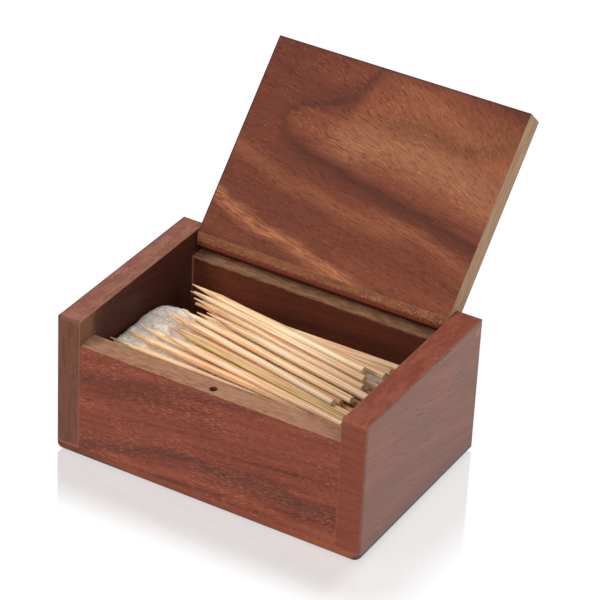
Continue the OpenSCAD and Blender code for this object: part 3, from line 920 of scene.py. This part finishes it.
padLook = {
    "length": 84.0, "innerWidth": 51.8, "gap": 0.3, "round": 3.2, "cornerR": 7.0,
    "leftShare": 0.65, "rightShare": 0.80,  # of the inner width that the pad fills at each end
    "low": 2.7, "top": 29.9, "wave": 0.5,
    "rise": 2.3, "riseFrom": 13.72, "riseFull": 9.8,
    "columns": 210, "rows": 96, "wallRows": 8, "arcRows": 8, "endCrowding": 0.12,
    "tuft": 0.34, "tuftSize": 3.4, "tuftMiddle": 0.45,
    "fuzz": 0.10, "fuzzSize": 0.9, "fuzzShift": (9, 4, 2),
    "shades": [(218, 198, 182), (252, 239, 225), (255, 249, 241)], "toneSteps": (0.32, 0.44, 0.56),
    "blotchShare": 0.6,
    "roughness": 0.95, "specular": 0.05, "sheen": 0.4, "bump": 0.4, "bumpDepth": 0.0005,
    "subsurface": 0.15, "subsurfaceReach": 0.002,
}
strandLook = {  # loose fibre ends over the skin, more of them at the left
    "count": 420, "crowding": 1.8, "points": (5, 10), "step": 1.9,
    "radius": (0.035, 0.06), "lift": 0.05, "arch": 0.18, "bend": 0.5, "bendStep": 0.4,
    "endColumns": (5, 7), "endRows": (10, 14),
}


def padSkin():
    # sections along the length, each from the front foot over the top to the rear foot
    look = padLook
    length, width, r = look["length"], look["innerWidth"], look["round"]
    ease = np.linspace(0, 1, look["columns"])
    t = length * (ease - look["endCrowding"] * np.sin(math.tau * ease) / math.tau)
    endGap = np.minimum(t, length - t)

    def roundInset(radius, gap):
        chord = np.sqrt(np.maximum(radius * radius - (radius - gap) ** 2, 0))
        return np.where(gap < radius, radius - chord, 0)

    inset = roundInset(look["cornerR"], endGap)
    depth = width * (look["leftShare"] + (look["rightShare"] - look["leftShare"]) * t / length)
    lowY = -width / 2 + look["gap"] + inset
    highY = -width / 2 + depth - inset
    share = np.clip((look["riseFrom"] - t) / (look["riseFrom"] - look["riseFull"]), 0, 1)
    top = look["top"] + look["rise"] * share * share * (3 - 2 * share) - roundInset(r, endGap)
    walls, arcs, rows = look["wallRows"], look["arcRows"], look["rows"]
    grid = np.zeros((look["columns"], rows, 3))
    grid[:, :, 0] = (-length / 2 + t)[:, None]
    for k in range(walls):
        for row, edgeY in ((k, lowY), (rows - 1 - k, highY)):
            grid[:, row, 1] = edgeY
            grid[:, row, 2] = look["low"] + (top - r - look["low"]) * (k / walls)
    for k in range(arcs):
        a = math.pi / 2 * k / (arcs - 1)
        across, down = r * (1 - math.cos(a)), r * (1 - math.sin(a))
        for row, edgeY in ((walls + k, lowY + across), (rows - 1 - walls - k, highY - across)):
            grid[:, row, 1] = edgeY
            grid[:, row, 2] = top - down
    tops = rows - 2 * (walls + arcs)
    for k in range(tops):
        s = (k + 1) / (tops + 1)
        drop = look["wave"] * (2 - np.cos(6 * np.pi * t / length) - math.cos(4 * math.pi * s)) / 4
        grid[:, walls + arcs + k, 1] = lowY + r + (highY - lowY - 2 * r) * s
        grid[:, walls + arcs + k, 2] = top - drop
    return grid


def padTufts(grid):
    # pushes the skin in and out along its normal, mostly inwards
    look = padLook
    normals = np.cross(np.gradient(grid, axis=0), np.gradient(grid, axis=1))
    normals /= np.maximum(np.linalg.norm(normals, axis=2, keepdims=True), 1e-9)
    push = np.zeros(grid.shape[:2])
    for i in range(grid.shape[0]):
        for j in range(grid.shape[1]):
            p = Vector(grid[i, j])
            soft = noise.fractal(p / look["tuftSize"], 1.0, 2.0, 3)
            fine = noise.fractal(p / look["fuzzSize"] + Vector(look["fuzzShift"]), 1.0, 2.0, 2)
            push[i, j] = look["tuft"] * (soft - look["tuftMiddle"]) + look["fuzz"] * fine
    push[:, :2] = 0  # the feet stay on the base board
    push[:, -2:] = 0
    return grid + normals * push[:, :, None], normals


def padStrands(skin, normals):
    look = strandLook
    draw = random.Random(11)
    verts, faces = [], []
    columns, rows = skin.shape[:2]
    firstColumn, lastColumn = look["endColumns"]
    firstRow, lastRow = look["endRows"]
    for _ in range(look["count"]):
        place = draw.uniform(0, 1) ** look["crowding"]
        fi = float(int(place * (columns - firstColumn - lastColumn)) + firstColumn)
        fj = float(draw.randrange(firstRow, rows - lastRow))
        heading = draw.uniform(0, math.tau)
        bend = draw.uniform(-look["bend"], look["bend"])
        steps = draw.randrange(*look["points"])
        radius = draw.uniform(*look["radius"])
        ring = []
        for step in range(steps):
            a, b = int(min(max(fi, 0), columns - 1)), int(min(max(fj, 0), rows - 1))
            lift = look["lift"] + look["arch"] * math.sin(math.pi * step / (steps - 1))
            centre = Vector(skin[a, b] + normals[a, b] * lift)
            level = Vector((-math.sin(heading), math.cos(heading), 0))
            ring.append(len(verts))
            for k in range(3):
                turn = math.tau * k / 3
                side = level * math.cos(turn) + Vector((0, 0, 1)) * math.sin(turn)
                verts.append(centre + side * radius)
            heading += bend * look["bendStep"]
            fi += look["step"] * math.cos(heading)
            fj += look["step"] * math.sin(heading)
        for a, b in zip(ring, ring[1:]):
            for k in range(3):
                faces.append((a + k, a + (k + 1) % 3, b + (k + 1) % 3, b + k))
        faces.append((ring[0] + 2, ring[0] + 1, ring[0]))
        faces.append((ring[-1], ring[-1] + 1, ring[-1] + 2))
    return verts, faces


def waddingMaterial():
    look = padLook
    mat, tree = newMaterial("waddingWhite")
    point = restPoint(tree)
    blotch = noiseAt(tree, point, 0.42, 6.0, 4.0, 0.6)
    wisps = noiseAt(tree, point, (1.1, 2.4, 1.6), 14.0, 4.0, 0.6)
    mixed = scaled(tree, wisps, 1 - look["blotchShare"], times(tree, blotch, look["blotchShare"]))
    shade = colourSteps(tree, mixed, look["toneSteps"], look["shades"])
    surface(tree, look, shade, wisps, {
        "Sheen Weight": look["sheen"], "Subsurface Weight": look["subsurface"],
        "Subsurface Scale": look["subsurfaceReach"]})
    return mat


def makeWadding():
    skin, normals = padTufts(padSkin())
    columns, rows = skin.shape[:2]
    verts = [Vector(p) for p in skin.reshape(-1, 3)]
    faces = []
    for i in range(columns - 1):
        here, after = i * rows, (i + 1) * rows
        for j in range(rows):
            k = (j + 1) % rows
            faces.append((here + j, after + j, after + k, here + k))
    faces.append(tuple(range(rows)))
    faces.append(tuple(range(columns * rows - 1, (columns - 1) * rows - 1, -1)))
    strandVerts, strandFaces = padStrands(skin, normals)
    start = len(verts)
    verts += strandVerts
    faces += [tuple(start + k for k in face) for face in strandFaces]
    mesh = bpy.data.meshes.new("waddingPadSoft")
    mesh.from_pydata([v / mmPerMetre for v in verts], [], faces)
    mesh.validate()
    for face in mesh.polygons:
        face.use_smooth = True
    pad = bpy.data.objects.new("waddingPadSoft", mesh)
    bpy.context.scene.collection.objects.link(pad)
    mesh.materials.append(waddingMaterial())
    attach(pad, "box")
    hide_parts("wadding_pad")


makeWadding()
print("wadding pad made")

# Floor, background and lamps

studioLook = {
    "fill": 0.50,  # world light on the object
    "lamps": [  # name, place, size, watts
        ("keyLamp", (-2.0, -2.6, 3.2), 2.2, 104.0),
        ("sideLamp", (1.6, -0.5, 0.9), 1.0, 12.0),
    ],
    "lampTarget": (0, 0, 0.02),
    "floorSize": 6.0, "floorDrop": 0.0001, "floorShade": (0.9, 0.9, 0.9, 1),
    "mirror": 0.36,  # share of the floor's faint mirror image near the box
    "mirrorFull": 10.0, "mirrorEnd": 27.0, "mirrorRoughness": 0.05,
    "mirrorLoss": 0.35, "lossWidth": 4.0,  # how much of it is lost at the right
    "shadow": 0.10, "glow": 1.06,  # share of the floor that takes shadow, and its brightness
}
white = (1, 1, 1, 1)


def seenAs(tree, *kinds):
    # 1 for rays of these kinds
    path = addNode(tree, "ShaderNodeLightPath")
    seen = path.outputs[kinds[0]]
    for kind in kinds[1:]:
        seen = larger(tree, seen, path.outputs[kind])
    return seen


def mixShader(tree, factor, a, b):
    return addNode(tree, "ShaderNodeMixShader", {0: factor, 1: a.outputs[0], 2: b.outputs[0]})


def floorMaterial():
    look = studioLook
    mat, tree = newMaterial("whiteFloor")
    x, y, _ = splitVector(tree, restPoint(tree))
    halfLength, halfWidth = boxSize["length"] / 2, boxSize["width"] / 2
    offX = larger(tree, minus(tree, unsigned(tree, x), halfLength), 0.0)
    offY = larger(tree, minus(tree, unsigned(tree, y), halfWidth), 0.0)
    near = smoothStep(tree, distance(tree, offX, offY), look["mirrorEnd"], look["mirrorFull"])
    toRight = smoothStep(tree, x, halfLength - look["lossWidth"], halfLength + look["lossWidth"])
    near = times(tree, near, scaled(tree, toRight, -look["mirrorLoss"], 1.0))
    matte = addNode(tree, "ShaderNodeBsdfDiffuse", {"Color": look["floorShade"]})
    glow = addNode(tree, "ShaderNodeEmission", {"Color": white, "Strength": look["glow"]})
    mirror = addNode(tree, "ShaderNodeBsdfGlossy",
                     {"Color": white, "Roughness": look["mirrorRoughness"]})
    shaded = mixShader(tree, look["shadow"], glow, matte)
    glossy = mixShader(tree, times(tree, near, look["mirror"]), shaded, mirror)
    seen = seenAs(tree, "Is Camera Ray", "Is Glossy Ray")
    closeMaterial(tree, mixShader(tree, seen, matte, glossy))
    return mat


def softLamp(name, place, size, watts):
    data = bpy.data.lights.new(name, "AREA")
    data.shape = "DISK"
    data.size = size
    data.energy = watts
    lamp = bpy.data.objects.new(name, data)
    lamp.location = place
    heading = Vector(studioLook["lampTarget"]) - Vector(place)
    lamp.rotation_euler = heading.to_track_quat("-Z", "Y").to_euler()
    bpy.context.scene.collection.objects.link(lamp)


def lightWorld():
    world = bpy.data.worlds.new("whiteStudio")
    bpy.context.scene.world = world
    world.use_nodes = True
    tree = world.node_tree
    tree.nodes.clear()
    seen = seenAs(tree, "Is Camera Ray", "Is Glossy Ray", "Is Transmission Ray")
    strength = scaled(tree, seen, 1.0 - studioLook["fill"], studioLook["fill"])
    background = addNode(tree, "ShaderNodeBackground", {"Color": white, "Strength": strength})
    addNode(tree, "ShaderNodeOutputWorld", {0: background.outputs[0]})


def buildStudio():
    look = studioLook
    bpy.ops.mesh.primitive_plane_add(size=look["floorSize"], location=(0, 0, -look["floorDrop"]))
    floor = bpy.context.object
    floor.name = "studioFloor"
    floor.data.materials.append(floorMaterial())
    lightWorld()
    for name, place, size, watts in look["lamps"]:
        softLamp(name, place, size, watts)


buildStudio()
bpy.context.scene.view_settings.view_transform = "Standard"
print("studio lit")
